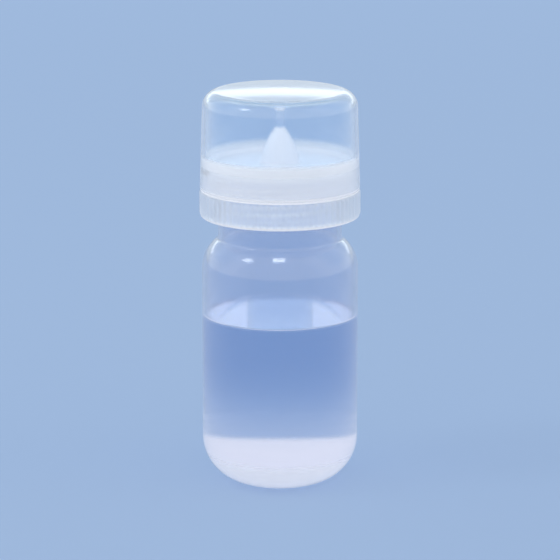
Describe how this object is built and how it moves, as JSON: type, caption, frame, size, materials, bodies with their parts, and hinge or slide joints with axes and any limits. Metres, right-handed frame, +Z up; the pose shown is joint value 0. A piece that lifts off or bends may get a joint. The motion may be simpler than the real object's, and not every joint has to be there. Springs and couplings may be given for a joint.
{
  "type": "reagent bottle",
  "caption": "Translucent plastic dropping bottle with a screw-on ribbed nozzle cap, a screw-on clear overcap with a sealing pin, and clear liquid inside.",
  "frame": {"origin": "centre of the bottle's foot, on the plane it stands on", "axes": "+Z up along the bottle's axis, towards the overcap's crown"},
  "size_m": [0.0452, 0.0452, 0.113],
  "materials": {
    "bottle_plastic": "satin",
    "cap_plastic": "satin",
    "overcap_plastic": "gloss",
    "pin_plastic": "gloss",
    "ring_rubber": "matte",
    "liquid": "gloss"
  },
  "bodies": {
    "bottle": {"bottle": "bottle_plastic", "reagent": "liquid"},
    "seal": {"sealing_ring": "ring_rubber"},
    "nozzle_cap": {"nozzle_cap": "cap_plastic"},
    "pin": {"sealing_pin": "pin_plastic"},
    "overcap": {"overcap": "overcap_plastic"}
  },
  "joints": [
    {"name": "cap_lift", "type": "slide", "parent": "bottle", "child": "seal", "axis": [0, 0, 1], "range_m": [0, 0.0155]},
    {"name": "cap_turn", "type": "hinge", "parent": "seal", "child": "nozzle_cap", "pos_m": [0, 0, 0.0846], "axis": [0, 0, 1], "range_deg": [0, 1260]},
    {"name": "overcap_lift", "type": "slide", "parent": "nozzle_cap", "child": "pin", "axis": [0, 0, 1], "range_m": [0, 0.0185]},
    {"name": "overcap_turn", "type": "hinge", "parent": "pin", "child": "overcap", "pos_m": [0, 0, 0.099], "axis": [0, 0, 1], "range_deg": [0, 1620]}
  ],
  "couplings": [
    {"joint": "cap_lift", "follows": "cap_turn", "m_per_rad": 0.00067376},
    {"joint": "overcap_lift", "follows": "overcap_turn", "m_per_rad": 0.0006207}
  ]
}
